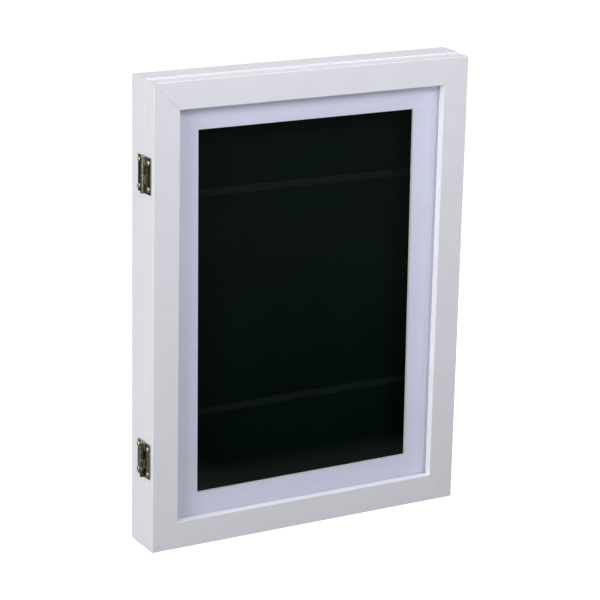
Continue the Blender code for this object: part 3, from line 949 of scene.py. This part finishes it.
# Studio
# A white table, large soft lamps at the left and above, two small ones in front, and the camera
# at the photograph's place. Table and walls are plain white to the camera, and mirrored they
# have levels of their own: dark to the right as by a black flag, bright to the far left.
table_albedo = (0.46, 0.46, 0.46)
table_mottle = 0.98
table_roughness = (0.75, 0.85)
walls_mirrored = 0.1
left_wall_mirrored = 0.8
left_wall_from = (0.0, -0.3)
back_table_from = (-0.1, 0.05)
back_table_fade = (0.3, 0.8)
back_table_mirrored = (0.25, 0.05)
bright_corner = (-0.40, -0.60)
bright_corner_mirrored = 0.9
flag_corner = (-0.10, -0.05)
flag_fade = (-0.20, -0.70)
flag_mirrored = 0.018
corner_softness = 0.1
# Each lamp's place, the side of its square, its power and its tint.
lights = {
    "left_window": ((-1.6, -0.3, 0.6), 1.2, 10.8, (1.0, 1.0, 1.0)),
    "left_front": ((-1.45, -0.5, 0.6), 1.0, 11.3, (1.0, 1.0, 1.0)),
    "ceiling_panel": ((0.1, 0.1, 1.6), 1.2, 14.3, (1.0, 1.0, 1.0)),
    "front_right": ((0.3, -0.6, 0.6), 0.4, 2.05, (0.99, 0.99, 1.03)),
    "front_high": ((-0.2, -0.6, 0.75), 0.3, 1.7, (0.99, 0.99, 1.03)),
}
light_target = Vector((0, 0, ring_height["box"] / 2))
camera_place = (-0.83028, -1.43374, 0.65267)
camera_turn = (73.6615, -1.1783, -29.7319)
camera_lens = 143.388


def table_material():
    """White card that glows to the camera, and shows glossy rays the levels set above."""
    material, tree, shader, place = new_material("white_table", Specular_IOR_Level=0.2)
    tone = noise(tree, place, scale=3, detail=2)
    mottled = [share * table_mottle for share in table_albedo]
    colour = blend(tree, "Color", tone, mottled, table_albedo)
    rough = spread(tree, tone, 0.3, 0.7, *table_roughness)
    give_surface(tree, shader, colour, rough, tone, relief=0.001, strength=0.05)
    rays = add_node(tree, "LightPath").outputs
    glow = add_node(tree, "Emission", Color=(1, 1, 1), Strength=rays["Is Camera Ray"])
    lit = tree.nodes.new("ShaderNodeAddShader")
    tree.links.new(shader.outputs[0], lit.inputs[0])
    tree.links.new(glow.outputs[0], lit.inputs[1])
    x, y = add_node(tree, "SeparateXYZ", Vector=place).outputs[:2]

    def beyond(corner, side):
        """1 in front of this spot and to its right or left, where the side is 1 or -1."""
        beside = spread(tree, x, corner[0], corner[0] + side * corner_softness)
        before = spread(tree, y, corner[1], corner[1] - corner_softness)
        return maths(tree, "MULTIPLY", beside, before)

    behind = spread(tree, y, *back_table_fade, *back_table_mirrored)
    mirrored = blend(tree, "Float", spread(tree, y, *back_table_from), walls_mirrored, behind)
    mirrored = blend(tree, "Float", beyond(bright_corner, -1), mirrored, bright_corner_mirrored)
    flag = spread(tree, y, *flag_fade, 0, flag_mirrored)
    mirrored = blend(tree, "Float", beyond(flag_corner, 1), mirrored, flag)
    shown = add_node(tree, "Emission", Color=(1, 1, 1), Strength=mirrored)
    show_shaders(tree, rays["Is Glossy Ray"], lit, shown)
    return material


work = bmesh.new()
bmesh.ops.create_grid(work, x_segments=4, y_segments=4, size=6)
table = linked_object("studio_table", work)
table.data.materials.append(table_material())

for name, (place, size, power, tint) in lights.items():
    lamp = bpy.data.lights.new(name, "AREA")
    lamp.shape = "SQUARE"
    lamp.size = size
    lamp.energy = power
    lamp.color = tint
    holder = bpy.data.objects.new(name, lamp)
    holder.location = place
    holder.rotation_euler = (light_target - Vector(place)).to_track_quat("-Z", "Y").to_euler()
    bpy.context.scene.collection.objects.link(holder)

walls = bpy.data.worlds.new("studio_walls")
walls.use_nodes = True
tree = walls.node_tree
rays = add_node(tree, "LightPath").outputs
way = add_node(tree, "TexCoord").outputs["Generated"]
to_right = add_node(tree, "SeparateXYZ", Vector=way).outputs["X"]
mirrored = spread(tree, to_right, *left_wall_from, walls_mirrored, left_wall_mirrored)
mirrored = maths(tree, "MULTIPLY", rays["Is Glossy Ray"], mirrored)
background = tree.nodes["Background"]
give(tree, background.inputs["Color"], (1, 1, 1))
give(tree, background.inputs["Strength"], maths(tree, "ADD", mirrored, rays["Is Camera Ray"]))
bpy.context.scene.world = walls
bpy.context.scene.view_settings.view_transform = "Standard"

camera = bpy.data.cameras.new("camera")
camera.lens = camera_lens
camera.sensor_width = 36
camera.clip_start = 0.05
holder = bpy.data.objects.new("camera", camera)
holder.location = camera_place
holder.rotation_euler = [math.radians(turn) for turn in camera_turn]
bpy.context.scene.collection.objects.link(holder)
bpy.context.scene.camera = holder
